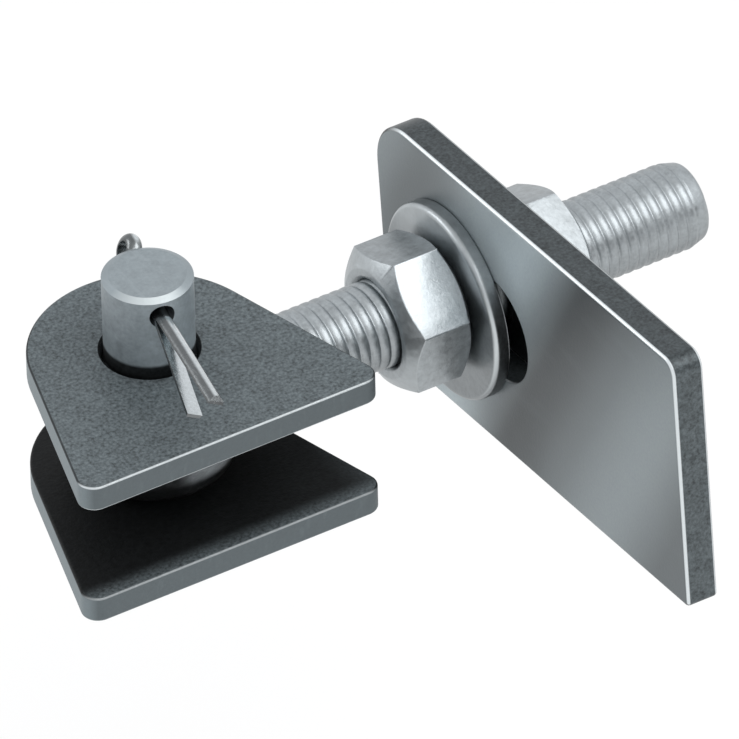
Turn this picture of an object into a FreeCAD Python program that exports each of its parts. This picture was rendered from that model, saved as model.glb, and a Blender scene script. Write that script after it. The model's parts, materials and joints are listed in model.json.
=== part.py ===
import FreeCAD, Part
import math
import os
import Sketcher

# Adjustable gate hinge: an eye bolt held by a headless pin between two weld-on ears, with a
# slotted mounting plate clamped on its stud between two washers and two nuts.
# Millimetres and degrees. The origin is where the pin's axis crosses the stud's axis, +Z runs
# up the pin, +X along the stud to its free end, and the ears' weld edges face -Y.

doc = FreeCAD.newDocument("gate_hinge")
sizes = doc.addObject("Spreadsheet::Sheet", "sizes")

dimensions = {
    # eye bolt
    "stud_dia": 15.75,         # crest of the M16 thread, and the neck
    "stud_reach": 108.0,       # pin axis to the free end
    "point_length": 3.5,       # tapered point
    "point_dia": 13.8,
    "point_round": 0.8,
    "ball_dia": 32.0,
    "eye_width": 17.0,         # across the flats of the ball
    "neck_round": 4.0,         # between ball and stud
    "pin_fit": 0.08,           # radial, pin in the eye
    "eye_rim": 0.6,            # chamfer at both mouths of the eye
    # hinge pin
    "pin_dia": 15.8,
    "pin_length": 60.0,
    "pin_chamfer": 1.2,        # across the end, and along the pin
    "pin_bevel": 0.65,
    "split_inset": 3.5,        # end of the pin to the split pin's hole
    "split_turn": -102.5,      # where the split pins point, about the pin's axis from +X
    # split pins, half-round wire folded into an eye and two legs
    "split_dia": 3.0,          # over both closed legs
    "split_gap": 0.12,         # between the flats of the legs
    "split_fit": 0.75,         # radial, in the pin's hole
    "split_lean": 3.1,         # how far the legs droop and swerve in that hole
    "split_swerve": -1.1,
    "shoulder_seat": 0.35,     # start of the shoulder below the pin's surface
    "shoulder_bend": 1.9,      # radii at the flat of the wire
    "loop_bend": 1.6,
    "leg_bend": 6.0,
    "long_reach": 34.2,        # pin axis to the tips
    "short_reach": 30.2,
    "long_spread": 2.72,       # how far each tip is bent off the middle
    "short_spread": 2.79,
    "leg_bevel": 0.8,          # outer corner of each tip
    "upper_roll": 65.0,        # turn of the flats about the split pin's own axis
    "lower_roll": -32.0,
    # ears
    "ear_thick": 5.0,
    "ear_width": 60.0,         # along the weld edge
    "ear_depth": 28.0,         # weld edge to the pin axis
    "ear_nose": 21.0,          # radius round the pin
    "ear_corner": 3.0,
    "ear_edge": 0.5,           # rounded arris
    "ear_fit": 0.55,           # radial, pin in the ears
    "ear_rim": 0.4,            # chamfer of the pin hole
    "eye_play": 1.0,           # between the eye's flats and each ear
    "ear_drop": 0.5,           # both ears hang this low in that play
    # nuts
    "nut_flats": 24.0,
    "nut_height": 13.0,
    "nut_face": 20.8,          # diameter of the bearing circle inside the corner chamfer
    "nut_chamfer": 30.0,       # angle of that chamfer
    "nut_sink": 0.8,           # countersink of the thread
    "thread_fit": 0.05,        # radial, nut on the stud's crest
    "nut_setting": 44.6,       # pin axis to the inner nut
    "inner_turn": 42.0,        # corner positions about the stud
    "outer_turn": 33.9,
    # washers
    "washer_dia": 36.0,
    "washer_thick": 3.0,
    "washer_fit": 1.05,        # radial, on the stud
    "washer_rest": 0.05,       # what is left of it under the hanging inner washer
    "washer_round": 1.0,       # rolled rim
    "washer_edge": 0.4,        # the other rim and the bore
    # mounting plate
    "plate_thick": 6.0,
    "plate_width": 50.0,
    "plate_length": 97.0,
    "plate_turn": 4.775,       # lean about the stud
    "plate_round": 10.5,       # corners beside the slot
    "plate_corner": 3.0,       # upper corner of the far end
    "plate_foot": 1.0,         # lower corner of the far end
    "plate_edge": 0.7,         # rounded arris
    "slot_length": 36.0,
    "slot_height": 19.5,
    "slot_margin": 11.7,       # plate's near end to the slot
    "slot_setting": 12.6,      # stud axis to the slot's near end
    "slot_edge": 0.4,
}
for row, (alias, value) in enumerate(dimensions.items(), 1):
    cell = "B%d" % row
    sizes.set(cell, str(value))
    sizes.setAlias(cell, alias)
doc.recompute()

# Lengths that follow from the sizes above, each used by more than one piece.
STUD = "sizes.stud_dia / 2"
PIN = "sizes.pin_dia / 2"
EYE_BORE = "(sizes.pin_dia / 2 + sizes.pin_fit)"
SPLIT_Z = "(sizes.pin_length / 2 - sizes.split_inset)"
WIRE = "((sizes.split_dia - sizes.split_gap) / 2)"
EAR_Z = "(sizes.eye_width / 2 + sizes.eye_play)"
WASHER_BORE = "(sizes.stud_dia / 2 + sizes.washer_fit)"
INNER_WASHER_X = "(sizes.nut_setting + sizes.nut_height)"
PLATE_X = "(sizes.nut_setting + sizes.nut_height + sizes.washer_thick)"
OUTER_WASHER_X = PLATE_X[:-1] + " + sizes.plate_thick)"
OUTER_NUT_X = OUTER_WASHER_X[:-1] + " + sizes.washer_thick)"
NEAR = 1e-3                    # two levels or radii closer than this are the same


def value(expression):
    result = sizes.evalExpression(expression)
    return float(getattr(result, "Value", result))


def new_body(label):
    body = doc.addObject("PartDesign::Body", label)
    body.Label = label
    return body


def new_sketch(body, plane, name):
    sketch = body.newObject("Sketcher::SketchObject", name)
    support = [f for f in body.Origin.OriginFeatures if f.Role == plane][0]
    sketch.AttachmentSupport = (support, "")
    sketch.MapMode = "FlatFace"
    return sketch


def constrain(sketch, expression, kind, *where):
    """Adds a bound dimension; a plain 0 puts the point on the axis instead."""
    if expression == "0":
        axis = -2 if kind == "DistanceX" else -1
        return sketch.addConstraint(Sketcher.Constraint("PointOnObject", *where, axis))
    if kind in ("DistanceX", "DistanceY"):
        where = (-1, 1) + where
    index = sketch.addConstraint(Sketcher.Constraint(kind, *where, value(expression)))
    sketch.setExpression("Constraints[%d]" % index, expression)
    return index


def place(sketch, geometry, end, across, along):
    constrain(sketch, across, "DistanceX", geometry, end)
    constrain(sketch, along, "DistanceY", geometry, end)


def add_line(sketch, start, end):
    return sketch.addGeometry(Part.LineSegment(FreeCAD.Vector(*start, 0), FreeCAD.Vector(*end, 0)), False)


def add_arc(sketch, centre, radius, first, last):
    """A counter-clockwise arc between two angles in degrees."""
    circle = Part.Circle(FreeCAD.Vector(*centre, 0), FreeCAD.Vector(0, 0, 1), radius)
    arc = Part.ArcOfCircle(circle, math.radians(first), math.radians(last))
    return sketch.addGeometry(arc, False)


def join(sketch, *ends):
    for first, first_end, second, second_end in ends:
        sketch.addConstraint(Sketcher.Constraint("Coincident", first, first_end, second, second_end))


def smooth(sketch, *ends):
    for first, first_end, second, second_end in ends:
        sketch.addConstraint(Sketcher.Constraint("Tangent", first, first_end, second, second_end))


def add_polygon(sketch, corners):
    """A closed outline with every corner placed by two expressions."""
    points = [(value(x), value(y)) for x, y in corners]
    count = len(corners)
    lines = [add_line(sketch, points[i], points[(i + 1) % count]) for i in range(count)]
    join(sketch, *[(lines[i], 2, lines[(i + 1) % count], 1) for i in range(count)])
    for line, (x, y) in zip(lines, corners):
        place(sketch, line, 1, x, y)


def add_circle(sketch, radius):
    circle = Part.Circle(FreeCAD.Vector(0, 0, 0), FreeCAD.Vector(0, 0, 1), value(radius))
    index = sketch.addGeometry(circle, False)
    join(sketch, (index, 3, -1, 1))
    constrain(sketch, radius, "Radius", index)


def turn_about(body, kind, sketch, axis, name):
    feature = body.newObject("PartDesign::" + kind, name)
    feature.Profile = sketch
    feature.ReferenceAxis = (sketch, [axis])
    feature.Angle = 360
    return feature


def pad(body, sketch, length, name):
    feature = body.newObject("PartDesign::Pad", name)
    feature.Profile = sketch
    feature.setExpression("Length", length)
    return feature


def cut_through(body, sketch, name):
    feature = body.newObject("PartDesign::Pocket", name)
    feature.Profile = sketch
    feature.SideType = "Symmetric"
    feature.Type = "ThroughAll"
    return feature


def soften(body, kind, size, test, name):
    """Fillets or chamfers the edges of the body's last feature that pass the test."""
    doc.recompute()
    base = body.Tip
    names = ["Edge%d" % (i + 1) for i, edge in enumerate(base.Shape.Edges)
             if not edge.Degenerated and test(edge)]
    feature = body.newObject("PartDesign::" + kind, name)
    feature.Base = (base, names)
    feature.setExpression("Radius" if kind == "Fillet" else "Size", size)
    return feature


def on_circle(edge, radius, along=None):
    """True for an edge on a circle of this radius, centred at this distance along X."""
    if not isinstance(edge.Curve, Part.Circle):
        return False
    near = abs(edge.Curve.Radius - value(radius)) < NEAR
    return near and (along is None or abs(edge.Curve.Center.x - value(along)) < NEAR)


def flat_at(edge, axis, level):
    """True for an edge that lies wholly at this level along an axis."""
    box = edge.BoundBox
    low, high = {"x": (box.XMin, box.XMax), "z": (box.ZMin, box.ZMax)}[axis]
    return abs(low - level) < NEAR and abs(high - level) < NEAR


# Eye bolt: ball, neck and stud turned in one, then flatted and bored.
eye_bolt = new_body("eye_bolt")
turned = new_sketch(eye_bolt, "XY_Plane", "bolt_profile")
ball, neck, stud = value("sizes.ball_dia / 2"), value("sizes.neck_round"), value(STUD)
reach, point = value("sizes.stud_reach"), value("sizes.point_length")
neck_y = stud + neck
neck_x = math.sqrt((ball + neck) ** 2 - neck_y ** 2)
lean = math.degrees(math.atan2(neck_y, neck_x))
point_r = value("sizes.point_dia / 2")
head = add_arc(turned, (0, 0), ball, lean, 180)
hollow = add_arc(turned, (neck_x, neck_y), neck, 180 + lean, 270)
side = add_line(turned, (neck_x, stud), (reach - point, stud))
taper = add_line(turned, (reach - point, stud), (reach, point_r))
end_face = add_line(turned, (reach, point_r), (reach, 0))
core = add_line(turned, (reach, 0), (-ball, 0))
smooth(turned, (head, 1, hollow, 1), (hollow, 2, side, 1))
join(turned, (side, 2, taper, 1), (taper, 2, end_face, 1), (end_face, 2, core, 1),
     (core, 2, head, 2), (head, 3, -1, 1))
constrain(turned, "sizes.ball_dia / 2", "Radius", head)
constrain(turned, "sizes.neck_round", "Radius", hollow)
turned.addConstraint(Sketcher.Constraint("Horizontal", side))
place(turned, side, 2, "sizes.stud_reach - sizes.point_length", STUD)
place(turned, taper, 2, "sizes.stud_reach", "sizes.point_dia / 2")
place(turned, core, 1, "sizes.stud_reach", "0")
constrain(turned, "0", "DistanceY", core, 2)
turn_about(eye_bolt, "Revolution", turned, "H_Axis", "bolt_turned")
flats = new_sketch(eye_bolt, "XZ_Plane", "eye_flats")
for sign in ("", "-"):
    near, far = sign + "sizes.eye_width / 2", sign + "sizes.ball_dia"
    tail = "sizes.ball_dia / 2 + sizes.neck_round"
    add_polygon(flats, [("-sizes.ball_dia", near), (tail, near), (tail, far), ("-sizes.ball_dia", far)])
cut_through(eye_bolt, flats, "eye_flatted")
bore = new_sketch(eye_bolt, "XY_Plane", "eye_bore")
add_circle(bore, EYE_BORE)
cut_through(eye_bolt, bore, "eye_bored")
soften(eye_bolt, "Chamfer", "sizes.eye_rim", lambda e: on_circle(e, EYE_BORE), "eye_mouths")
soften(eye_bolt, "Fillet", "sizes.point_round",
       lambda e: on_circle(e, "sizes.point_dia / 2", "sizes.stud_reach"), "point_rounded")

# Hinge pin: a headless pin, cross-drilled near both ends.
hinge_pin = new_body("hinge_pin")
pin_profile = new_sketch(hinge_pin, "XZ_Plane", "pin_profile")
pin_top, pin_flat = "sizes.pin_length / 2", "sizes.pin_dia / 2 - sizes.pin_chamfer"
pin_side = "sizes.pin_length / 2 - sizes.pin_bevel"
add_polygon(pin_profile, [("0", "-" + pin_top), (pin_flat, "-" + pin_top),
                          (PIN, "-(" + pin_side + ")"), (PIN, pin_side),
                          (pin_flat, pin_top), ("0", pin_top)])
turn_about(hinge_pin, "Revolution", pin_profile, "V_Axis", "pin_turned")
cross = new_sketch(hinge_pin, "YZ_Plane", "split_holes")
for sign in ("", "-"):
    hole = cross.addGeometry(Part.Circle(FreeCAD.Vector(0, value(sign + SPLIT_Z), 0),
                                         FreeCAD.Vector(0, 0, 1), value("sizes.split_dia / 2")), False)
    place(cross, hole, 3, "0", sign + SPLIT_Z)
    constrain(cross, "sizes.split_dia / 2 + sizes.split_fit", "Radius", hole)
cut_through(hinge_pin, cross, "pin_drilled")
hinge_pin.setExpression("Placement", "placement(vector(0; 0; 0); "
                        "rotation(vector(0; 0; 1); sizes.split_turn))")


# Split pins: one half-round wire runs up a leg, round the eye and down the other leg. The
# sketch holds the wire's flat, with +X towards the tips. The lower one goes in from the back.
def split_pin(label, level, facing, roll):
    body = new_body(label)
    wire = new_sketch(body, "XY_Plane", label + "_path")
    gap, shoulder, loop = (value(e) for e in ("sizes.split_gap / 2", "sizes.shoulder_bend",
                                              "sizes.loop_bend"))
    seat, bend = value("sizes.shoulder_seat - sizes.pin_dia / 2"), value("sizes.leg_bend")
    leave = value(PIN)
    flare = math.degrees(math.acos((shoulder + gap) / (shoulder + loop)))
    middle = seat - (shoulder + loop) * math.sin(math.radians(flare))
    eye = add_arc(wire, (middle, 0), loop, 90 - flare, 270 + flare)
    for side, eye_end, spread, reach in ((1, 1, "sizes.long_spread", "sizes.long_reach"),
                                         (-1, 2, "-sizes.short_spread", "sizes.short_reach")):
        flat = side * gap
        out, tip = value(spread), value(reach)
        # the leg leaves its bend at the slope that takes it to the tip
        slope = math.atan2(abs(out) - gap, tip - leave)
        knee = (leave + bend * math.sin(slope), flat + side * bend * (1 - math.cos(slope)))
        tilt = math.degrees(slope)
        straight = add_line(wire, (seat, flat), (leave, flat))
        leg = add_line(wire, knee, (tip, out))
        if side > 0:
            turn = add_arc(wire, (seat, flat + shoulder), shoulder, 270 - flare, 270)
            kink = add_arc(wire, (leave, flat + bend), bend, 270, 270 + tilt)
            smooth(wire, (eye, eye_end, turn, 1), (turn, 2, straight, 1),
                   (straight, 2, kink, 1), (kink, 2, leg, 1))
        else:
            turn = add_arc(wire, (seat, flat - shoulder), shoulder, 90, 90 + flare)
            kink = add_arc(wire, (leave, flat - bend), bend, 90 - tilt, 90)
            smooth(wire, (eye, eye_end, turn, 2), (turn, 1, straight, 1),
                   (straight, 2, kink, 2), (kink, 1, leg, 1))
        wire.addConstraint(Sketcher.Constraint("Horizontal", straight))
        sign = "" if side > 0 else "-"
        constrain(wire, "sizes.shoulder_bend", "Radius", turn)
        constrain(wire, "sizes.leg_bend", "Radius", kink)
        place(wire, straight, 2, PIN, sign + "sizes.split_gap / 2")
        place(wire, leg, 2, reach, spread)
        if side > 0:
            constrain(wire, "sizes.shoulder_seat - sizes.pin_dia / 2", "DistanceX", straight, 1)
    constrain(wire, "sizes.loop_bend", "Radius", eye)
    constrain(wire, "0", "DistanceY", eye, 3)
    section = new_sketch(body, "YZ_Plane", label + "_section")
    section.setExpression("AttachmentOffset.Base.z", "sizes.long_reach")
    radius, low = value(WIRE), value("sizes.long_spread")
    half = add_arc(section, (low, 0), radius, -90, 90)
    flat_side = add_line(section, (low, radius), (low, -radius))
    join(section, (half, 2, flat_side, 1), (flat_side, 2, half, 1))
    section.addConstraint(Sketcher.Constraint("PointOnObject", half, 3, flat_side))
    section.addConstraint(Sketcher.Constraint("Vertical", flat_side))
    place(section, half, 3, "sizes.long_spread", "0")
    constrain(section, WIRE, "Radius", half)
    pipe = body.newObject("PartDesign::AdditivePipe", label + "_folded")
    pipe.Profile = section
    pipe.Spine = wire
    pipe.Mode = "Standard"
    bevels = new_sketch(body, "XY_Plane", label + "_bevels")
    for sign, spread, reach in (("", "sizes.long_spread", "sizes.long_reach"),
                                ("-", "sizes.short_spread", "sizes.short_reach")):
        inner = "%s(%s + %s - sizes.leg_bevel)" % (sign, spread, WIRE)
        outer = "%s(%s + %s + sizes.leg_bevel)" % (sign, spread, WIRE)
        add_polygon(bevels, [(reach, inner), (reach + " - 2 * sizes.leg_bevel", outer),
                             (reach + " + sizes.leg_bevel", outer), (reach + " + sizes.leg_bevel", inner)])
    cut_through(body, bevels, label + "_pointed")
    body.setExpression("Placement", "placement(vector(0; 0; %s); rotation(vector(0; 0; 1); "
                       "sizes.split_turn + sizes.split_swerve + %d) * rotation(vector(0; 1; 0); sizes.split_lean)"
                       " * rotation(vector(1; 0; 0); %s))" % (level, facing, roll))
    return body


upper_split_pin = split_pin("upper_split_pin", SPLIT_Z, 0, "sizes.upper_roll")
lower_split_pin = split_pin("lower_split_pin", "-" + SPLIT_Z, 180, "sizes.lower_roll")


# Ears: flat plates with straight sides that run into a round nose about the pin.
def ear(label, level):
    body = new_body(label)
    outline = new_sketch(body, "XY_Plane", label + "_outline")
    half, depth, nose = (value(e) for e in ("sizes.ear_width / 2", "sizes.ear_depth", "sizes.ear_nose"))
    angle = math.atan2(-depth, half) + math.acos(nose / math.hypot(half, depth))
    touch = (nose * math.cos(angle), nose * math.sin(angle))
    base = add_line(outline, (-half, -depth), (half, -depth))
    right = add_line(outline, (half, -depth), touch)
    round_end = add_arc(outline, (0, 0), nose, math.degrees(angle), 180 - math.degrees(angle))
    left = add_line(outline, (-touch[0], touch[1]), (-half, -depth))
    join(outline, (base, 2, right, 1), (left, 2, base, 1), (round_end, 3, -1, 1))
    smooth(outline, (right, 2, round_end, 1), (round_end, 2, left, 1))
    place(outline, base, 1, "-sizes.ear_width / 2", "-sizes.ear_depth")
    place(outline, base, 2, "sizes.ear_width / 2", "-sizes.ear_depth")
    constrain(outline, "sizes.ear_nose", "Radius", round_end)
    pad(body, outline, "sizes.ear_thick", label + "_plate")
    hole = new_sketch(body, "XY_Plane", label + "_hole")
    bore_r = "sizes.pin_dia / 2 + sizes.ear_fit"
    add_circle(hole, bore_r)
    cut_through(body, hole, label + "_bored")
    corner_x, corner_y = value("sizes.ear_width / 2"), value("-sizes.ear_depth")
    soften(body, "Fillet", "sizes.ear_corner",
           lambda e: e.BoundBox.ZLength > NEAR and abs(abs(e.BoundBox.XMin) - corner_x) < NEAR
           and abs(e.BoundBox.YMin - corner_y) < NEAR, label + "_corners")
    soften(body, "Chamfer", "sizes.ear_rim", lambda e: on_circle(e, bore_r), label + "_rim")
    faces = (0.0, value("sizes.ear_thick"))
    rim_r = value(bore_r) + value("sizes.ear_rim") + NEAR
    soften(body, "Fillet", "sizes.ear_edge",
           lambda e: any(flat_at(e, "z", f) for f in faces)
           and not (isinstance(e.Curve, Part.Circle) and e.Curve.Radius < rim_r
                    and e.Curve.Center.Length < rim_r), label + "_arrises")
    body.setExpression("Placement.Base.z", level)
    return body


upper_ear = ear("upper_ear", EAR_Z + " - sizes.ear_drop")
lower_ear = ear("lower_ear", "-" + EAR_Z + " - sizes.ear_thick - sizes.ear_drop")


# Nuts: a hexagon turned back at both ends, with a countersunk thread.
def nut(label, along, corner_turn):
    body = new_body(label)
    blank = body.newObject("PartDesign::AdditivePrism", label + "_blank")
    blank.AttachmentSupport = ([f for f in body.Origin.OriginFeatures if f.Role == "YZ_Plane"][0], "")
    blank.MapMode = "FlatFace"
    blank.Polygon = 6
    blank.setExpression("Circumradius", "sizes.nut_flats / sqrt(3)")
    blank.setExpression("Height", "sizes.nut_height")
    turned_back = new_sketch(body, "XY_Plane", label + "_chamfers")
    face, over = "sizes.nut_face / 2", "sizes.nut_flats"
    drop = "(sizes.nut_flats - sizes.nut_face / 2) * tan(sizes.nut_chamfer)"
    for start, depth in (("0", drop), ("sizes.nut_height", "sizes.nut_height - " + drop)):
        add_polygon(turned_back, [(start, face), (start, over), (depth, over)])
    turn_about(body, "Groove", turned_back, "H_Axis", label + "_chamfered")
    thread = new_sketch(body, "XY_Plane", label + "_thread")
    bore_r = "sizes.stud_dia / 2 + sizes.thread_fit"
    add_polygon(thread, [("0", "0"), ("0", bore_r + " + sizes.nut_sink"), ("sizes.nut_sink", bore_r),
                         ("sizes.nut_height - sizes.nut_sink", bore_r),
                         ("sizes.nut_height", bore_r + " + sizes.nut_sink"), ("sizes.nut_height", "0")])
    turn_about(body, "Groove", thread, "H_Axis", label + "_threaded")
    body.setExpression("Placement", "placement(vector(%s; 0; 0); rotation(vector(1; 0; 0); %s))"
                       % (along, corner_turn))
    return body


inner_nut = nut("inner_nut", "sizes.nut_setting", "sizes.inner_turn")
outer_nut = nut("outer_nut", OUTER_NUT_X, "sizes.outer_turn")


# Washers: the rolled rim faces away from the plate. The inner one hangs on the stud.
def washer(label, along, drop, flip):
    body = new_body(label)
    ring = new_sketch(body, "XY_Plane", label + "_section")
    add_polygon(ring, [("0", WASHER_BORE), ("0", "sizes.washer_dia / 2"),
                       ("sizes.washer_thick", "sizes.washer_dia / 2"),
                       ("sizes.washer_thick", WASHER_BORE)])
    turn_about(body, "Revolution", ring, "H_Axis", label + "_ring")
    rim = "sizes.washer_dia / 2"
    soften(body, "Fillet", "sizes.washer_round", lambda e: on_circle(e, rim, "0"),
           label + "_rolled")
    soften(body, "Fillet", "sizes.washer_edge", lambda e: on_circle(e, rim, "sizes.washer_thick")
           or on_circle(e, WASHER_BORE), label + "_edges")
    body.setExpression("Placement", "placement(vector(%s; 0; %s); rotation(vector(0; 0; 1); %d))"
                       % (along, drop, flip))
    return body


inner_washer = washer("inner_washer", INNER_WASHER_X, "sizes.washer_rest - sizes.washer_fit", 0)
outer_washer = washer("outer_washer", OUTER_NUT_X, "0", 180)

# Mounting plate: flat bar with a slot for the stud, drawn along the bar from the stud's axis.
mounting_plate = new_body("mounting_plate")
bar = new_sketch(mounting_plate, "YZ_Plane", "bar_outline")
plate_near = "sizes.slot_setting + sizes.slot_margin"
plate_far = "sizes.slot_setting + sizes.slot_margin - sizes.plate_length"
half_width = "sizes.plate_width / 2"
add_polygon(bar, [(plate_near, half_width), (plate_far, half_width),
                  (plate_far, "-" + half_width), (plate_near, "-" + half_width)])
pad(mounting_plate, bar, "sizes.plate_thick", "bar")
slot = new_sketch(mounting_plate, "YZ_Plane", "slot_outline")
slot_r = value("sizes.slot_height / 2")
slot_ends = ("sizes.slot_setting - sizes.slot_height / 2",
             "sizes.slot_setting - sizes.slot_length + sizes.slot_height / 2")
near_end, far_end = value(slot_ends[0]), value(slot_ends[1])
near_arc = add_arc(slot, (near_end, 0), slot_r, -90, 90)
upper_line = add_line(slot, (near_end, slot_r), (far_end, slot_r))
far_arc = add_arc(slot, (far_end, 0), slot_r, 90, 270)
lower_line = add_line(slot, (far_end, -slot_r), (near_end, -slot_r))
smooth(slot, (near_arc, 2, upper_line, 1), (upper_line, 2, far_arc, 1),
       (far_arc, 2, lower_line, 1), (lower_line, 2, near_arc, 1))
place(slot, near_arc, 3, slot_ends[0], "0")
place(slot, far_arc, 3, slot_ends[1], "0")
constrain(slot, "sizes.slot_height / 2", "Radius", near_arc)
cut_through(mounting_plate, slot, "slot")
plate_corner_w = value(half_width)


def plate_corner_at(end, *sides):
    level = value(end)
    return lambda e: (e.BoundBox.XLength > NEAR and abs(e.BoundBox.YMin - level) < NEAR
                      and abs(e.BoundBox.YMax - level) < NEAR
                      and any(abs(e.BoundBox.ZMin - side * plate_corner_w) < NEAR for side in sides))


soften(mounting_plate, "Fillet", "sizes.plate_round", plate_corner_at(plate_near, 1, -1), "near_corners")
soften(mounting_plate, "Fillet", "sizes.plate_corner", plate_corner_at(plate_far, 1), "far_corner")
soften(mounting_plate, "Fillet", "sizes.plate_foot", plate_corner_at(plate_far, -1), "foot_corner")
plate_faces = (0.0, value("sizes.plate_thick"))


def in_slot(edge):
    box = edge.BoundBox
    return (max(abs(box.ZMin), abs(box.ZMax)) < slot_r + NEAR
            and box.YMax < value("sizes.slot_setting") + NEAR
            and box.YMin > value("sizes.slot_setting - sizes.slot_length") - NEAR)


soften(mounting_plate, "Fillet", "sizes.slot_edge",
       lambda e: any(flat_at(e, "x", f) for f in plate_faces) and in_slot(e), "slot_arrises")
soften(mounting_plate, "Fillet", "sizes.plate_edge",
       lambda e: any(flat_at(e, "x", f) for f in plate_faces)
       and max(abs(e.BoundBox.ZMin), abs(e.BoundBox.ZMax)) > slot_r + value("sizes.plate_edge"),
       "bar_arrises")
mounting_plate.setExpression("Placement", "placement(vector(%s; 0; 0); rotation(vector(1; 0; 0); "
                             "-sizes.plate_turn))" % PLATE_X)

doc.recompute()

pieces = [eye_bolt, hinge_pin, upper_split_pin, lower_split_pin, upper_ear, lower_ear,
          inner_nut, outer_nut, inner_washer, outer_washer, mounting_plate]
for item in doc.Objects:
    if "Invalid" in item.State or "Error" in item.State:
        raise RuntimeError("%s failed: %s" % (item.Label, item.State))
for piece in pieces:
    if piece.Shape.isNull() or not piece.Shape.isValid() or len(piece.Shape.Solids) != 1:
        raise RuntimeError("%s has no valid solid" % piece.Label)

os.makedirs("parts", exist_ok=True)
for piece in pieces:
    piece.Shape.exportStep("parts/%s.step" % piece.Label)
    print("%-16s %10.1f mm3" % (piece.Label, piece.Shape.Volume))
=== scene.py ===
import bpy
import json
import math
from mathutils import Matrix, Vector

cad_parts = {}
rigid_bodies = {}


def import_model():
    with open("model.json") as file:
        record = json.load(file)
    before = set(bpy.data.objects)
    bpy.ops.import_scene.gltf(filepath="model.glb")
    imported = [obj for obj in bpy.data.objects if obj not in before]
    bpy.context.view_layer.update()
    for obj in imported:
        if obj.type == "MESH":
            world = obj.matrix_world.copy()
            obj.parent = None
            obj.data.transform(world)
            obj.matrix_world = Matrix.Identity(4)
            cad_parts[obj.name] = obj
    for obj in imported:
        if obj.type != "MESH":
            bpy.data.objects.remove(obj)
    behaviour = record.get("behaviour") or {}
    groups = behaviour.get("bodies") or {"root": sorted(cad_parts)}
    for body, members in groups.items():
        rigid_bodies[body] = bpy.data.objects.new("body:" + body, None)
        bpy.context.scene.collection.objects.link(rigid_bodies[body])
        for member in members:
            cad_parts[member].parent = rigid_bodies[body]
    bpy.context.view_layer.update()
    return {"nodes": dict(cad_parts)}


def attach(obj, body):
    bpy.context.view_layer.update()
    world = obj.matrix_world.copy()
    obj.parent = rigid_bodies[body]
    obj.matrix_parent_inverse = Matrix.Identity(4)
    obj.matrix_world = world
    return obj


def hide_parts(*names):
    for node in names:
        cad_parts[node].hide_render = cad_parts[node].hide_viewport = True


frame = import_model()
nodes = frame["nodes"]


# camera, floor and lights

view = {
    "azimuth": 30.694,            # degrees
    "elevation": 38.384,
    "roll": -1.357,
    "lens": 974.3,                # mm on a 36 mm sensor
    "distance": 3.41075,          # metres
    "aim": (0.038673, -0.007685, -0.002278),
}


def makeCamera():
    az, el, roll = (math.radians(view[k]) for k in ("azimuth", "elevation", "roll"))
    right = Vector((math.cos(az), -math.sin(az), 0))
    back = Vector((-math.sin(az) * math.cos(el), -math.cos(az) * math.cos(el), math.sin(el)))
    up = back.cross(right)
    across = right * math.cos(roll) + up * math.sin(roll)
    along = up * math.cos(roll) - right * math.sin(roll)
    data = bpy.data.cameras.new("camera")
    data.lens, data.sensor_width = view["lens"], 36
    data.clip_start, data.clip_end = 0.5, 60
    camera = bpy.data.objects.new("camera", data)
    bpy.context.scene.collection.objects.link(camera)
    turn = Matrix((across, along, back)).transposed().to_4x4()
    camera.matrix_world = Matrix.Translation(Vector(view["aim"]) + back * view["distance"]) @ turn
    bpy.context.scene.camera = camera


def addNode(tree, kind, inputs=None, **settings):
    node = tree.nodes.new(kind)
    for name, value in settings.items():
        setattr(node, name, value)
    for name, value in (inputs or {}).items():
        node.inputs[name].default_value = value
    return node


def newMaterial(name):
    material = bpy.data.materials.new(name)
    material.use_nodes = True
    tree = material.node_tree
    tree.nodes.clear()
    return material, tree, addNode(tree, "ShaderNodeOutputMaterial")


floor = {
    "level": -0.13,
    "size": 40,
    "colour": (0.85, 0.855, 0.86, 1),
    "shadowShare": 0.22,          # how much of the real shading the camera still sees
}


def makeFloor():
    bpy.ops.mesh.primitive_plane_add(size=floor["size"], location=(0, 0, floor["level"]))
    piece = bpy.context.active_object
    piece.name = "floor"
    bpy.ops.object.transform_apply(location=True, rotation=True, scale=True)
    material, tree, out = newMaterial("paleFloor")
    link = tree.links.new
    place = addNode(tree, "ShaderNodeTexCoord")
    mottle = addNode(tree, "ShaderNodeTexNoise", {"Scale": 3.0, "Detail": 2.0})
    shades = addNode(tree, "ShaderNodeMapRange", {"To Min": 0.93, "To Max": 0.96})
    paint = addNode(tree, "ShaderNodeBsdfDiffuse", {"Color": floor["colour"]})
    glow = addNode(tree, "ShaderNodeEmission", {"Color": (1, 1, 1, 1), "Strength": 1.0})
    path = addNode(tree, "ShaderNodeLightPath")
    seen = addNode(tree, "ShaderNodeMath", operation="MAXIMUM")
    clear = addNode(tree, "ShaderNodeMath", operation="MAXIMUM")
    share = addNode(tree, "ShaderNodeMath", {1: 1 - floor["shadowShare"]}, operation="MULTIPLY")
    blend = addNode(tree, "ShaderNodeMixShader")
    link(place.outputs["Object"], mottle.inputs["Vector"])
    link(mottle.outputs["Fac"], shades.inputs["Value"])
    link(shades.outputs["Result"], paint.inputs["Color"])
    link(path.outputs["Is Camera Ray"], seen.inputs[0])
    link(path.outputs["Is Glossy Ray"], seen.inputs[1])
    link(seen.outputs[0], clear.inputs[0])
    link(path.outputs["Is Transmission Ray"], clear.inputs[1])
    link(clear.outputs[0], share.inputs[0])
    link(share.outputs[0], blend.inputs["Fac"])
    link(paint.outputs[0], blend.inputs[1])
    link(glow.outputs[0], blend.inputs[2])
    link(blend.outputs[0], out.inputs["Surface"])
    piece.data.materials.append(material)


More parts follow.
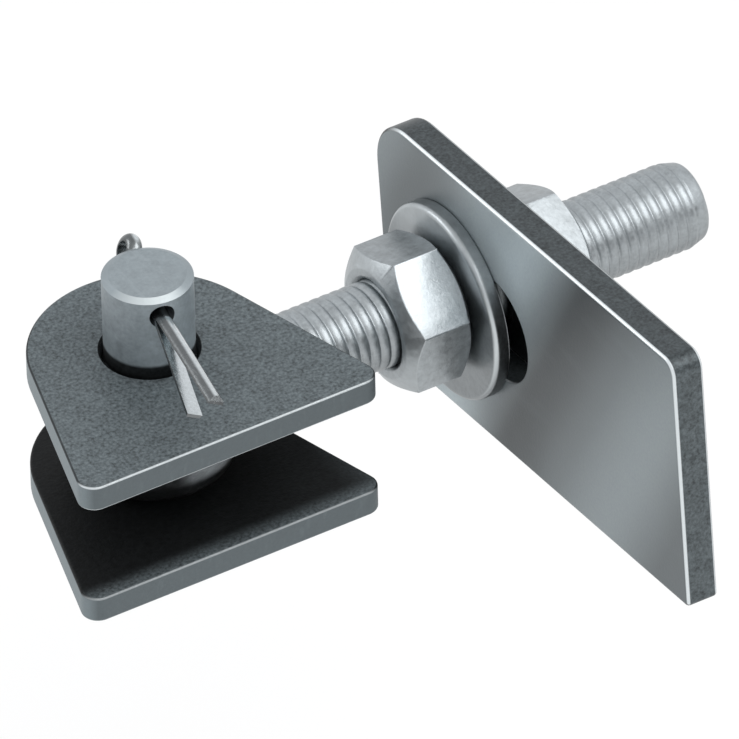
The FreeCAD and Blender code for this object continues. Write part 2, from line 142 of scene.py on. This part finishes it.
lamps = {
    "front": {"towards": (0.40, -0.48, 0.78), "distance": 1.1, "size": 0.8, "power": 4.8},
    "crown": {"towards": (-0.32, -0.54, 0.785), "distance": 1.2, "size": 0.5, "power": 0.9},
    "rim": {"towards": (-0.62, 0.674, 0.40), "distance": 1.2, "size": 0.5, "power": 2.4},
}
skyShades = {"horizon": (0.84, 0.85, 0.87, 1), "shoulder": (0.85, 0.86, 0.88, 1), "top": (0.80, 0.81, 0.82, 1)}
flag = {"towards": (0.38, -0.90, 0.12), "edge": 0.80, "middle": 0.96, "shade": 0.22}   # dark board at the front


def makeLights():
    for name, lamp in lamps.items():
        data = bpy.data.lights.new(name + "Lamp", "AREA")
        data.shape, data.size, data.energy = "SQUARE", lamp["size"], lamp["power"]
        light = bpy.data.objects.new(name + "Lamp", data)
        bpy.context.scene.collection.objects.link(light)
        towards = Vector(lamp["towards"]).normalized()
        light.location = towards * lamp["distance"] + Vector((0.035, 0, 0))
        light.rotation_mode = "QUATERNION"
        light.rotation_quaternion = towards.to_track_quat("Z", "Y")
    world = bpy.data.worlds.new("studio")
    bpy.context.scene.world = world
    world.use_nodes = True
    tree = world.node_tree
    tree.nodes.clear()
    out = addNode(tree, "ShaderNodeOutputWorld")
    sky = addNode(tree, "ShaderNodeBackground", {"Strength": 1.0})
    place = addNode(tree, "ShaderNodeTexCoord")
    height = addNode(tree, "ShaderNodeSeparateXYZ")
    shades = addNode(tree, "ShaderNodeValToRGB")
    ramp = shades.color_ramp
    ramp.interpolation = "EASE"
    ramp.elements[0].position, ramp.elements[0].color = 0.0, skyShades["horizon"]
    ramp.elements[1].position, ramp.elements[1].color = 1.0, skyShades["top"]
    ramp.elements.new(0.35).color = skyShades["shoulder"]
    tree.links.new(place.outputs["Generated"], height.inputs[0])
    tree.links.new(height.outputs["Z"], shades.inputs["Fac"])
    reach = addNode(tree, "ShaderNodeVectorMath", {1: flag["towards"]}, operation="DOT_PRODUCT")
    board = addNode(tree, "ShaderNodeMapRange", {"From Min": flag["edge"], "From Max": flag["middle"], "To Min": 1.0,
                                                 "To Max": flag["shade"]}, interpolation_type="SMOOTHSTEP")
    darken = addNode(tree, "ShaderNodeVectorMath", operation="SCALE")
    tree.links.new(place.outputs["Generated"], reach.inputs[0])
    tree.links.new(reach.outputs["Value"], board.inputs["Value"])
    tree.links.new(shades.outputs["Color"], darken.inputs[0])
    tree.links.new(board.outputs["Result"], darken.inputs["Scale"])
    tree.links.new(darken.outputs[0], sky.inputs["Color"])
    tree.links.new(sky.outputs[0], out.inputs["Surface"])
    bpy.context.scene.view_settings.view_transform = "Standard"


makeCamera()
makeFloor()
makeLights()
print("camera, floor and lights are set")


# reusable surface effects

def newGroup(name, inputs, outputs):
    group = bpy.data.node_groups.new(name, "ShaderNodeTree")
    for socket, kind, value in inputs:
        made = group.interface.new_socket(socket, in_out="INPUT", socket_type=kind)
        if value is not None:
            made.default_value = value
    for socket, kind in outputs:
        group.interface.new_socket(socket, in_out="OUTPUT", socket_type=kind)
    return group, addNode(group, "NodeGroupInput"), addNode(group, "NodeGroupOutput")


# fine speckle, broad mottle and long scratches, all from 0 to 1
def makeGrainGroup():
    number = "NodeSocketFloat"
    group, given, made = newGroup("metalGrain", [
        ("Vector", "NodeSocketVector", None), ("Fine", number, 1500.0), ("Broad", number, 200.0),
        ("Scratch", number, 900.0)], [("Speckle", number), ("Mottle", number), ("Scratches", number)])
    link = group.links.new
    fine = addNode(group, "ShaderNodeTexNoise", {"Detail": 3.0, "Roughness": 0.6})
    broad = addNode(group, "ShaderNodeTexNoise", {"Detail": 4.0, "Roughness": 0.55})
    stretch = addNode(group, "ShaderNodeMapping", {"Scale": (1.0, 0.06, 0.35), "Rotation": (0.1, 0.2, 0.35)})
    lines = addNode(group, "ShaderNodeTexNoise", {"Detail": 2.0, "Roughness": 0.5})
    sharp = addNode(group, "ShaderNodeMapRange", {"From Min": 0.58, "From Max": 0.74})
    spread = addNode(group, "ShaderNodeMapRange", {"From Min": 0.3, "From Max": 0.7})
    speck = addNode(group, "ShaderNodeMapRange", {"From Min": 0.28, "From Max": 0.72})
    for source, scale in ((fine, "Fine"), (broad, "Broad"), (lines, "Scratch")):
        link(given.outputs[scale], source.inputs["Scale"])
    link(given.outputs["Vector"], fine.inputs["Vector"])
    link(given.outputs["Vector"], broad.inputs["Vector"])
    link(given.outputs["Vector"], stretch.inputs["Vector"])
    link(stretch.outputs[0], lines.inputs["Vector"])
    link(fine.outputs["Fac"], speck.inputs["Value"])
    link(broad.outputs["Fac"], spread.inputs["Value"])
    link(lines.outputs["Fac"], sharp.inputs["Value"])
    link(speck.outputs["Result"], made.inputs["Speckle"])
    link(spread.outputs["Result"], made.inputs["Mottle"])
    link(sharp.outputs["Result"], made.inputs["Scratches"])
    return group


grain = makeGrainGroup()


# how a point faces: 1 on the flats across the axis, 1 on their arrises, 1 on the side turned to the light
def makeFacingGroup():
    number = "NodeSocketFloat"
    group, given, made = newGroup("facing", [
        ("Axis", "NodeSocketVector", (0, 0, 1)), ("Lit", "NodeSocketVector", (0, -1, 0))],
        [("Flat", number), ("Arris", number), ("LitSide", number)])
    link = group.links.new
    place = addNode(group, "ShaderNodeTexCoord")
    along = addNode(group, "ShaderNodeVectorMath", operation="DOT_PRODUCT")
    size = addNode(group, "ShaderNodeMath", operation="ABSOLUTE")
    flat = addNode(group, "ShaderNodeMapRange", {"From Min": 0.86, "From Max": 0.98})
    rise = addNode(group, "ShaderNodeMapRange", {"From Min": 0.18, "From Max": 0.40})
    notFlat = addNode(group, "ShaderNodeMath", {0: 1.0}, operation="SUBTRACT")
    arris = addNode(group, "ShaderNodeMath", operation="MULTIPLY")
    lit = addNode(group, "ShaderNodeVectorMath", operation="DOT_PRODUCT")
    wearAndLitSide = addNode(group, "ShaderNodeMapRange", {"From Min": 0.25, "From Max": 0.62})
    link(place.outputs["Normal"], along.inputs[0])
    link(given.outputs["Axis"], along.inputs[1])
    link(along.outputs["Value"], size.inputs[0])
    link(size.outputs[0], flat.inputs["Value"])
    link(size.outputs[0], rise.inputs["Value"])
    link(flat.outputs["Result"], notFlat.inputs[1])
    link(rise.outputs["Result"], arris.inputs[0])
    link(notFlat.outputs[0], arris.inputs[1])
    link(place.outputs["Normal"], lit.inputs[0])
    link(given.outputs["Lit"], lit.inputs[1])
    link(lit.outputs["Value"], wearAndLitSide.inputs["Value"])
    link(flat.outputs["Result"], made.inputs["Flat"])
    link(arris.outputs[0], made.inputs["Arris"])
    link(wearAndLitSide.outputs["Result"], made.inputs["LitSide"])
    return group


facing = makeFacingGroup()


def mixColour(tree, factor, first, second):
    node = addNode(tree, "ShaderNodeMix", data_type="RGBA")
    for socket, value in ((node.inputs["Factor"], factor), (node.inputs[6], first), (node.inputs[7], second)):
        if isinstance(value, bpy.types.NodeSocket):
            tree.links.new(value, socket)
        else:
            socket.default_value = value
    return node.outputs[2]


def grey(value, tint):
    return tuple(min(1.0, value * part) for part in tint) + (1,)


# plated or rolled metal: greys mixed by grain and mottle, other greys on its edges and arrises, with painted light and
# shade by facing and in patches
def makeMetal(name, look):
    material, tree, out = newMaterial(name)
    link = tree.links.new
    place = addNode(tree, "ShaderNodeTexCoord")
    marks = addNode(tree, "ShaderNodeGroup", node_tree=grain)
    for socket, value in (("Fine", look["fine"]), ("Broad", look["broad"]), ("Scratch", look["scratch"])):
        marks.inputs[socket].default_value = value
    link(place.outputs["Object"], marks.inputs["Vector"])
    faced = addNode(tree, "ShaderNodeGroup", {"Axis": look["axis"], "Lit": look["lit"]}, node_tree=facing)
    weigh = addNode(tree, "ShaderNodeMix", {"Factor": look["mottleShare"]}, data_type="FLOAT")
    link(marks.outputs["Speckle"], weigh.inputs[2])
    link(marks.outputs["Mottle"], weigh.inputs[3])
    tint = look["tint"]
    flatTone = mixColour(tree, weigh.outputs[0], grey(look["flat"][0], tint), grey(look["flat"][1], tint))
    if "bands" in look:
        flatTone = addPaintedReflectionBands(tree, place, flatTone, look["bands"])
    sideTone = mixColour(tree, weigh.outputs[0], grey(look["side"][0], tint), grey(look["side"][1], tint))
    # painted light and shade: sides turned towards the given direction get their own greys
    if "paintedFacingLight" in look:
        paintedFacingLight = look["paintedFacingLight"]
        turned = addNode(tree, "ShaderNodeVectorMath", {1: paintedFacingLight["towards"]}, operation="DOT_PRODUCT")
        faces = addNode(tree, "ShaderNodeMapRange", {"From Min": paintedFacingLight["reach"][0], "From Max": paintedFacingLight["reach"][1]})
        link(place.outputs["Normal"], turned.inputs[0])
        link(turned.outputs["Value"], faces.inputs["Value"])
        paintedFacingTone = mixColour(tree, weigh.outputs[0], grey(paintedFacingLight["tones"][0], tint), grey(paintedFacingLight["tones"][1], tint))
        sideTone = mixColour(tree, faces.outputs["Result"], sideTone, paintedFacingTone)
    tone = mixColour(tree, faced.outputs["Flat"], sideTone, flatTone)
    # painted highlight: arrises turned towards the lit side get the bright arris grey, the others the dull one
    edgeTone = mixColour(tree, faced.outputs["LitSide"], grey(look["dullArris"], tint),
                         grey(look["brightArris"], wireAndHighlightTint))
    arris = addNode(tree, "ShaderNodeMath", {1: look["arrisShare"]}, operation="MULTIPLY")
    link(faced.outputs["Arris"], arris.inputs[0])
    tone = mixColour(tree, arris.outputs[0], tone, edgeTone)
    wearAndLitSide = addNode(tree, "ShaderNodeMath", {1: look["scratchShare"]}, operation="MULTIPLY")
    link(marks.outputs["Scratches"], wearAndLitSide.inputs[0])
    tone = mixColour(tree, wearAndLitSide.outputs[0], tone, grey(look["scratchTone"], tint))
    # patches of painted shade and painted light, each mixed to its own tone
    for patchLook in look.get("paintedPatches", ()):
        tone = mixColour(tree, patchMask(tree, place, patchLook), tone, grey(patchLook["tone"], tint))
    rough = addNode(tree, "ShaderNodeMapRange", {"To Min": look["rough"][0], "To Max": look["rough"][1]})
    link(weigh.outputs[0], rough.inputs["Value"])
    relief = addNode(tree, "ShaderNodeBump", {"Strength": look["bump"], "Distance": look["bumpDepth"]})
    link(weigh.outputs[0], relief.inputs["Height"])
    shader = addNode(tree, "ShaderNodeBsdfPrincipled", {"Metallic": look["metallic"]})
    link(tone, shader.inputs["Base Color"])
    if "chalk" in look:
        shine = addNode(tree, "ShaderNodeMath", {0: 1.0}, operation="SUBTRACT")
        link(patchMask(tree, place, look["chalk"]), shine.inputs[1])
        link(shine.outputs[0], shader.inputs["Metallic"])
    link(rough.outputs["Result"], shader.inputs["Roughness"])
    link(relief.outputs["Normal"], shader.inputs["Normal"])
    link(shader.outputs[0], out.inputs["Surface"])
    return material


# soft painted reflection bands slanting across the plate's face, with painted shade a little darker round the washer
def addPaintedReflectionBands(tree, place, tone, bands):
    link = tree.links.new
    across = addNode(tree, "ShaderNodeVectorMath", {1: bands["across"]}, operation="DOT_PRODUCT")
    waver = addNode(tree, "ShaderNodeTexNoise", {"Scale": 45.0, "Detail": 1.0})
    shift = addNode(tree, "ShaderNodeMapRange", {"To Min": -bands["waver"], "To Max": bands["waver"]})
    moved = addNode(tree, "ShaderNodeMath", operation="ADD")
    share = addNode(tree, "ShaderNodeMapRange", {"From Min": bands["shades"][0][0], "From Max": bands["shades"][-1][0]})
    ramp = addNode(tree, "ShaderNodeValToRGB")
    fillRamp(ramp, [(at, grey(shade, bands["tint"])) for at, shade in bands["shades"]])
    outward = addNode(tree, "ShaderNodeVectorMath", {1: (0, 1, 1)}, operation="MULTIPLY")
    radius = addNode(tree, "ShaderNodeVectorMath", operation="LENGTH")
    paintedWasherShade = addNode(tree, "ShaderNodeMapRange", {
        "From Min": bands["paintedWasherShade"][0], "From Max": bands["paintedWasherShade"][1], "To Min": bands["paintedWasherShade"][2], "To Max": 1.0},
        interpolation_type="SMOOTHSTEP")
    washerShadedBands = addNode(tree, "ShaderNodeVectorMath", operation="SCALE")
    blend = addNode(tree, "ShaderNodeMix", {"Factor": 1.0}, data_type="RGBA", blend_type="MULTIPLY")
    link(place.outputs["Object"], across.inputs[0])
    link(place.outputs["Object"], waver.inputs["Vector"])
    link(place.outputs["Object"], outward.inputs[0])
    link(outward.outputs[0], radius.inputs[0])
    link(radius.outputs["Value"], paintedWasherShade.inputs["Value"])
    link(waver.outputs["Fac"], shift.inputs["Value"])
    link(across.outputs["Value"], moved.inputs[0])
    link(shift.outputs["Result"], moved.inputs[1])
    link(moved.outputs[0], share.inputs["Value"])
    link(share.outputs["Result"], ramp.inputs["Fac"])
    link(ramp.outputs["Color"], washerShadedBands.inputs[0])
    link(paintedWasherShade.outputs["Result"], washerShadedBands.inputs["Scale"])
    link(tone, blend.inputs[6])
    link(washerShadedBands.outputs[0], blend.inputs[7])
    return blend.outputs[2]


# stops given at lengths, the first and last of them at the ramp's ends
def fillRamp(ramp, stops):
    first, last = stops[0][0], stops[-1][0]
    made = ramp.color_ramp.elements
    ramp.color_ramp.interpolation = "CARDINAL"
    made[0].color, made[1].color = stops[0][1], stops[-1][1]
    for at, colour in stops[1:-1]:
        made.new((at - first) / (last - first)).color = colour


# a patchy mask between soft limits along X, Y and Z
def patchMask(tree, place, patchLook):
    link = tree.links.new
    apart = addNode(tree, "ShaderNodeSeparateXYZ")
    smear = addNode(tree, "ShaderNodeTexNoise", {"Scale": patchLook["scale"], "Detail": 3.0, "Roughness": 0.6})
    patchy = addNode(tree, "ShaderNodeMapRange", {"From Min": 0.3, "From Max": 0.7, "To Min": 1 - patchLook["patchy"],
                                                  "To Max": 1.0})
    link(place.outputs["Object"], apart.inputs[0])
    link(place.outputs["Object"], smear.inputs["Vector"])
    link(smear.outputs["Fac"], patchy.inputs["Value"])
    share = patchy.outputs["Result"]
    for axis, clear, full in patchLook["limits"]:
        edge = addNode(tree, "ShaderNodeMapRange", {"From Min": clear, "From Max": full},
                       interpolation_type="SMOOTHSTEP")
        both = addNode(tree, "ShaderNodeMath", operation="MULTIPLY")
        link(apart.outputs[axis], edge.inputs["Value"])
        link(share, both.inputs[0])
        link(edge.outputs["Result"], both.inputs[1])
        share = both.outputs[0]
    return share


def paint(piece, material):
    for place in piece.material_slots:
        place.material = material
    if not piece.material_slots:
        piece.data.materials.append(material)


# modelling helpers

def selectOnly(piece):
    for other in bpy.context.view_layer.objects:
        other.select_set(False)
    piece.select_set(True)
    bpy.context.view_layer.objects.active = piece


def editMesh(piece, picked=False):
    selectOnly(piece)
    bpy.ops.object.mode_set(mode="EDIT")
    bpy.ops.mesh.select_mode(type="VERT")
    bpy.ops.mesh.select_all(action="SELECT" if picked else "DESELECT")


def objectMode():
    bpy.ops.object.mode_set(mode="OBJECT")


# selects the vertices that pass the test, in edit mode
def pickVerts(piece, test):
    objectMode()
    for vertex in piece.data.vertices:
        vertex.select = test(vertex.co)
    for edge in piece.data.edges:
        edge.select = all(piece.data.vertices[i].select for i in edge.vertices)
    for face in piece.data.polygons:
        face.select = all(piece.data.vertices[i].select for i in face.vertices)
    bpy.ops.object.mode_set(mode="EDIT")


def applyModifier(piece, kind, **settings):
    selectOnly(piece)
    modifier = piece.modifiers.new(kind.lower(), kind)
    for name, value in settings.items():
        setattr(modifier, name, value)
    bpy.ops.object.modifier_apply(modifier=modifier.name)


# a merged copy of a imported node, free to be cut
def copyNode(name, newName):
    piece = bpy.data.objects.new(newName, nodes[name].data.copy())
    bpy.context.scene.collection.objects.link(piece)
    piece.data.materials.clear()
    editMesh(piece, picked=True)
    bpy.ops.mesh.remove_doubles(threshold=1e-6)
    objectMode()
    return piece


def smoothBelow(piece, degrees):
    selectOnly(piece)
    bpy.ops.object.shade_smooth_by_angle(angle=math.radians(degrees))


# threaded eye bolt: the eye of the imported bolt, with the thread cut along its stud

bolt = {
    "pitch": 0.002,
    "crest": 0.007875,            # radius over the thread
    "depth": 0.00030,
    "eyeCut": 0.0203,             # where the eye's mesh ends and the thread's begins
    "start": 0.0207,
    "runOut": (0.0215, 0.0262),   # the groove deepens from here to here
    "reach": 0.108,
    "pointLength": 0.0035,
    "pointRadius": 0.0069,
    "pointRound": 0.0008,
    "steps": 72,
    "profile": ((0.07, 0.18), (0.08, 0.32), (0.09, 0.28), (0.11, 0.16), (0.15, 0.06),
                (0.15, -0.06), (0.11, -0.16), (0.09, -0.28), (0.08, -0.32), (0.07, -0.18)),   # shares of pitch, depth
}


def stepUp(value, low, high):
    share = max(0.0, min(1.0, (value - low) / (high - low)))
    return share * share * (3 - 2 * share)


# the radius that the tapered, rounded point leaves at x
def pointLimit(x):
    left = bolt["reach"] - x
    if left >= bolt["pointLength"]:
        return bolt["crest"]
    limit = bolt["pointRadius"] + (bolt["crest"] - bolt["pointRadius"]) * max(left, 0) / bolt["pointLength"]
    if left < bolt["pointRound"]:
        inward = bolt["pointRound"] - max(left, 0)
        limit -= bolt["pointRound"] - math.sqrt(max(bolt["pointRound"] ** 2 - inward ** 2, 0))
    return limit


def makeThread():
    bpy.ops.mesh.primitive_plane_add(size=0.001, location=(0, 0, 0))
    piece = bpy.context.active_object
    piece.name = "thread"
    editMesh(piece, picked=True)
    bpy.ops.mesh.merge(type="CENTER")
    bpy.ops.transform.translate(value=(bolt["start"] - 2 * bolt["pitch"], 0, bolt["crest"] - bolt["depth"]))
    for along, out in bolt["profile"]:
        bpy.ops.mesh.extrude_region_move(TRANSFORM_OT_translate={
            "value": (along * bolt["pitch"], 0, out * bolt["depth"])})
    objectMode()
    turns = math.ceil((bolt["reach"] - bolt["start"]) / bolt["pitch"]) + 4
    applyModifier(piece, "SCREW", axis="X", angle=2 * math.pi, screw_offset=bolt["pitch"], iterations=turns,
                  steps=bolt["steps"], render_steps=bolt["steps"], use_merge_vertices=False)
    editMesh(piece, picked=True)
    bpy.ops.mesh.remove_doubles(threshold=2e-6)
    for level, outer, inner in ((bolt["start"], False, True), (bolt["reach"], True, False)):
        bpy.ops.mesh.select_all(action="SELECT")
        bpy.ops.mesh.bisect(plane_co=(level, 0, 0), plane_no=(1, 0, 0), clear_outer=outer, clear_inner=inner,
                            threshold=1e-7)
    objectMode()
    for vertex in piece.data.vertices:
        x, radius = vertex.co.x, math.hypot(vertex.co.y, vertex.co.z)
        groove = (bolt["crest"] - radius) * stepUp(x, *bolt["runOut"])
        wanted = min(bolt["crest"] - groove, pointLimit(x))
        vertex.co.y *= wanted / radius
        vertex.co.z *= wanted / radius
    editMesh(piece)
    pickVerts(piece, lambda co: abs(co.x - bolt["reach"]) < 1e-6)
    bpy.ops.mesh.edge_face_add()
    objectMode()
    return piece


def makeEyeBolt():
    eye = copyNode("eye_bolt", "threaded_eye_bolt")
    editMesh(eye, picked=True)
    bpy.ops.mesh.bisect(plane_co=(bolt["eyeCut"], 0, 0), plane_no=(1, 0, 0), clear_outer=True,
                        threshold=1e-7)
    objectMode()
    thread = makeThread()
    selectOnly(eye)
    thread.select_set(True)
    bpy.context.view_layer.objects.active = eye
    bpy.ops.object.join()
    editMesh(eye)
    bpy.ops.mesh.select_non_manifold(extend=False, use_wire=False, use_boundary=True, use_multi_face=False,
                                     use_non_contiguous=False, use_verts=False)
    bpy.ops.mesh.bridge_edge_loops()
    bpy.ops.mesh.select_all(action="SELECT")
    bpy.ops.mesh.normals_make_consistent(inside=False)
    objectMode()
    smoothBelow(eye, 38)
    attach(eye, "eye_bolt")
    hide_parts("eye_bolt")
    return eye


eyeBolt = makeEyeBolt()
print("eye bolt is threaded:", len(eyeBolt.data.polygons), "faces")


# nuts: a hexagon turned back at both ends, bored, with softened arrises

nut = {
    "flats": 0.024,
    "height": 0.013,
    "faceRadius": 0.0100,
    "chamfer": 30,                # degrees
    "bore": 0.007925,
    "sink": 0.0008,
    "soft": 0.0006,
    "sides": 120,
    "inner": {"at": 0.0446, "turn": 42.0},
    "outer": {"at": 0.0696, "turn": 33.9},
}


# a bar along X whose two ends taper to another radius
def makeTurned(name, radius, length, endRadius, endLength, middle, sides):
    bpy.ops.mesh.primitive_cylinder_add(vertices=sides, radius=radius, depth=length - 2 * endLength,
                                        location=(middle, 0, 0), rotation=(0, math.pi / 2, 0))
    piece = bpy.context.active_object
    piece.name = name
    bpy.ops.object.transform_apply(location=True, rotation=True, scale=True)
    editMesh(piece)
    for side in (-1, 1):
        level = middle + side * (length / 2 - endLength)
        pickVerts(piece, lambda co: abs(co.x - level) < 1e-6)
        share = endRadius / radius
        bpy.ops.mesh.extrude_region_move(TRANSFORM_OT_translate={"value": (side * endLength, 0, 0)})
        bpy.ops.transform.resize(value=(1, share, share))
        bpy.ops.mesh.select_all(action="DESELECT")
    objectMode()
    return piece


def makeNut(name, node, at, turn):
    middle, corner = at + nut["height"] / 2, nut["flats"] / math.sqrt(3)
    bpy.ops.mesh.primitive_cylinder_add(vertices=6, radius=corner, depth=nut["height"],
                                        location=(middle, 0, 0), rotation=(0, math.pi / 2, 0))
    piece = bpy.context.active_object
    piece.name = name
    bpy.ops.object.transform_apply(location=True, rotation=True, scale=True)
    first = piece.data.vertices[0].co
    swing = math.radians(turn) - math.atan2(first.z, first.y)
    piece.data.transform(Matrix.Rotation(swing, 4, "X"))
    over = corner + 0.0004
    back = (over - nut["faceRadius"]) * math.tan(math.radians(nut["chamfer"]))
    shell = makeTurned("shell", over, nut["height"], nut["faceRadius"], back, middle, nut["sides"])
    applyModifier(piece, "BOOLEAN", operation="INTERSECT", object=shell, solver="EXACT")
    drill = makeTurned("drill", nut["bore"], nut["height"] + 0.0004, nut["bore"] + nut["sink"] + 0.0002,
                       nut["sink"] + 0.0002, middle, nut["sides"])
    applyModifier(piece, "BOOLEAN", operation="DIFFERENCE", object=drill, solver="EXACT")
    for tool in (shell, drill):
        bpy.data.objects.remove(tool)
    applyModifier(piece, "BEVEL", width=nut["soft"], segments=3, limit_method="ANGLE",
                  angle_limit=math.radians(22), harden_normals=False)
    smoothBelow(piece, 35)
    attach(piece, node)
    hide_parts(node)
    return piece


innerNut = makeNut("inner_hex_nut", "inner_nut", **nut["inner"])
outerNut = makeNut("outer_hex_nut", "outer_nut", **nut["outer"])
print("nuts are made:", len(innerNut.data.polygons), "faces each")


# finishes

zincTint, steelTint, pinTint = (0.93, 1.0, 1.035), (0.85, 1.0, 1.06), (0.885, 1.0, 1.06)
wireAndHighlightTint = (0.94, 1.0, 1.02)      # tint of the bare split pin wire and of the painted arris highlights

zincBolt = {"tint": zincTint, "axis": (1, 0, 0), "lit": (0, -1, 0), "flat": (0.19, 0.29), "side": (0.20, 0.35),
            "brightArris": 0.45, "dullArris": 0.4, "arrisShare": 0.3, "fine": 1700, "broad": 420,
            "mottleShare": 0.45, "scratch": 1400, "scratchShare": 0.12, "scratchTone": 0.6, "metallic": 1.0,
            "rough": (0.34, 0.48), "bump": 0.22, "bumpDepth": 0.00012,
            "chalk": {"limits": (("X", 0.018, 0.012),), "scale": 700, "patchy": 0.2},
            # painted highlight along the stud's upper front side; the patches are painted shade darkening the eye
            # between the ears
            "paintedFacingLight": {"towards": (0, -0.5, 0.86), "reach": (0.1, 0.75), "tones": (0.33, 0.56)},
            "paintedPatches": [{"limits": (("X", 0.018, 0.011), ("Z", -0.0034, -0.0058)), "scale": 600, "patchy": 0.1,
                        "tone": 0.006},
                       {"limits": (("X", 0.0005, -0.0045),), "scale": 600, "patchy": 0.1, "tone": 0.010},
                       {"limits": (("X", 0.0050, 0.0090), ("X", 0.019, 0.015)), "scale": 600, "patchy": 0.1,
                        "tone": 0.010}]}
zincNut = {"tint": zincTint, "axis": (1, 0, 0), "lit": (0, -1, 0), "flat": (0.30, 0.46), "side": (0.30, 0.50),
           "brightArris": 0.5, "dullArris": 0.45, "arrisShare": 0.4, "fine": 1300, "broad": 620,
           "mottleShare": 0.55, "scratch": 1300, "scratchShare": 0.16, "scratchTone": 0.66, "metallic": 1.0,
           "rough": (0.34, 0.46), "bump": 0.24, "bumpDepth": 0.00016}
# the zinc nut finish with a painted highlight on the facet facing up and to the front
paintedLitNut = dict(zincNut, paintedFacingLight={"towards": (0, -0.669, 0.743), "reach": (0.7, 0.9), "tones": (0.50, 0.70)})
zincWasher = {"tint": zincTint, "axis": (1, 0, 0), "lit": (-0.5, -0.35, 0.75), "flat": (0.20, 0.31),
              "side": (0.10, 0.17), "brightArris": 0.75, "dullArris": 0.3, "arrisShare": 0.8, "fine": 1400,
              "broad": 360, "mottleShare": 0.5, "scratch": 1100, "scratchShare": 0.14, "scratchTone": 0.5,
              "metallic": 1.0, "rough": (0.32, 0.44), "bump": 0.2, "bumpDepth": 0.00012,
              # painted light: the upper part of each washer is lighter
              "paintedPatches": [{"limits": (("Z", 0.004, 0.013),), "scale": 500, "patchy": 0.3, "tone": 0.42}]}
brightPin = {"tint": pinTint, "axis": (0, 0, 1), "lit": (-0.45, -0.85, 0), "flat": (0.30, 0.42),
             "side": (0.36, 0.54), "brightArris": 1.0, "dullArris": 0.35, "arrisShare": 1.0, "fine": 1500,
             "broad": 520, "mottleShare": 0.5, "scratch": 900, "scratchShare": 0.14, "scratchTone": 0.62,
             "metallic": 0.75, "rough": (0.42, 0.56), "bump": 0.25, "bumpDepth": 0.00012,
             # painted shade on the pin's left side, and a painted contact shadow ring at its base on the upper ear
             "paintedFacingLight": {"towards": (-0.86, 0.51, 0), "reach": (0.0, 0.6), "tones": (0.25, 0.38)},
             "paintedPatches": [{"limits": (("Z", 0.0164, 0.0156), ("Z", 0.0124, 0.0134)), "scale": 900, "patchy": 0.06,
                         "tone": 0.008}]}
# painted highlight: faces turned to the axis (the left leg's flat, a strip along the right leg) are far lighter than
# the round sides
splitWire = {"tint": wireAndHighlightTint, "axis": (0.41, -0.09, 0.91), "lit": (0, -1, 0), "flat": (0.60, 0.80),
             "side": (0.09, 0.17), "brightArris": 0.5, "dullArris": 0.24, "arrisShare": 0.4, "fine": 1900,
             "broad": 720, "mottleShare": 0.5, "scratch": 1500, "scratchShare": 0.2, "scratchTone": 0.6,
             "metallic": 1.0, "rough": (0.18, 0.3), "bump": 0.14, "bumpDepth": 0.0001}
upperEarSteel = {"tint": steelTint, "axis": (0, 0, 1), "lit": (-0.5, -0.86, 0), "flat": (0.045, 0.26),
                 "side": (0.135, 0.17), "brightArris": 0.72, "dullArris": 0.012, "arrisShare": 0.9, "fine": 1700,
                 "broad": 330, "mottleShare": 0.16, "scratch": 800, "scratchShare": 0.1, "scratchTone": 0.34,
                 "metallic": 0.6, "rough": (0.48, 0.66), "bump": 0.3, "bumpDepth": 0.00014,
                 # painted light: the ears' left faces are lighter
                 "paintedFacingLight": {"towards": (-1, 0, 0), "reach": (0.5, 0.9), "tones": (0.21, 0.26)}}
# the upper ear's finish with a dimmer arris highlight and painted shade, nearly black, on the lower ear's top under the
# upper ear
lowerEarShadedSteel = dict(upperEarSteel, brightArris=0.42, paintedPatches=[{
    "limits": (("Z", -0.0106, -0.0101), ("Y", -0.0284, -0.0236), ("X", 0.040, 0.022)), "scale": 900,
    "patchy": 0.05, "tone": 0.004}])
plateSteel = {"tint": steelTint, "axis": (1, 0, 0), "lit": (-0.3, -0.75, 0.75), "flat": (0.80, 1.0),
              "side": (0.022, 0.12), "brightArris": 0.8, "dullArris": 0.012, "arrisShare": 0.95, "fine": 1700,
              "broad": 300, "mottleShare": 0.25, "scratch": 800, "scratchShare": 0.03, "scratchTone": 0.36,
              "metallic": 0.6, "rough": (0.34, 0.46), "bump": 0.16, "bumpDepth": 0.0001,
              # painted light: the plate's end is lighter than its top edge
              "paintedFacingLight": {"towards": (0, -1, 0), "reach": (0.5, 0.9), "tones": (0.034, 0.18)},
              # painted reflection bands across the face, with painted shade near the washer
              "bands": {"across": (0, 0.9965, 0.53), "waver": 0.0014, "tint": (1.03, 1.0, 1.02),
                        "paintedWasherShade": (0.019, 0.027, 0.85), "shades": (
                            (-0.074, 0.155), (-0.064, 0.27), (-0.056, 0.31), (-0.046, 0.23), (-0.038, 0.15),
                            (-0.030, 0.086), (-0.0245, 0.13), (-0.018, 0.36), (-0.012, 0.51), (-0.005, 0.46),
                            (0.004, 0.42), (0.012, 0.26), (0.022, 0.18), (0.034, 0.28))}}

finishes = {name: makeMetal(name, look) for name, look in (
    ("zincBolt", zincBolt), ("zincNut", zincNut), ("paintedLitNut", paintedLitNut), ("zincWasher", zincWasher), ("brightPin", brightPin),
    ("splitWire", splitWire), ("upperEarSteel", upperEarSteel), ("lowerEarShadedSteel", lowerEarShadedSteel),
    ("plateSteel", plateSteel))}
paint(eyeBolt, finishes["zincBolt"])
paint(innerNut, finishes["paintedLitNut"])
paint(outerNut, finishes["zincNut"])
for node, finish in (("inner_washer", "zincWasher"), ("outer_washer", "zincWasher"), ("hinge_pin", "brightPin"),
                     ("upper_split_pin", "splitWire"), ("lower_split_pin", "splitWire"),
                     ("upper_ear", "upperEarSteel"), ("lower_ear", "lowerEarShadedSteel"),
                     ("mounting_plate", "plateSteel")):
    paint(nodes[node], finishes[finish])
print("finishes are on")
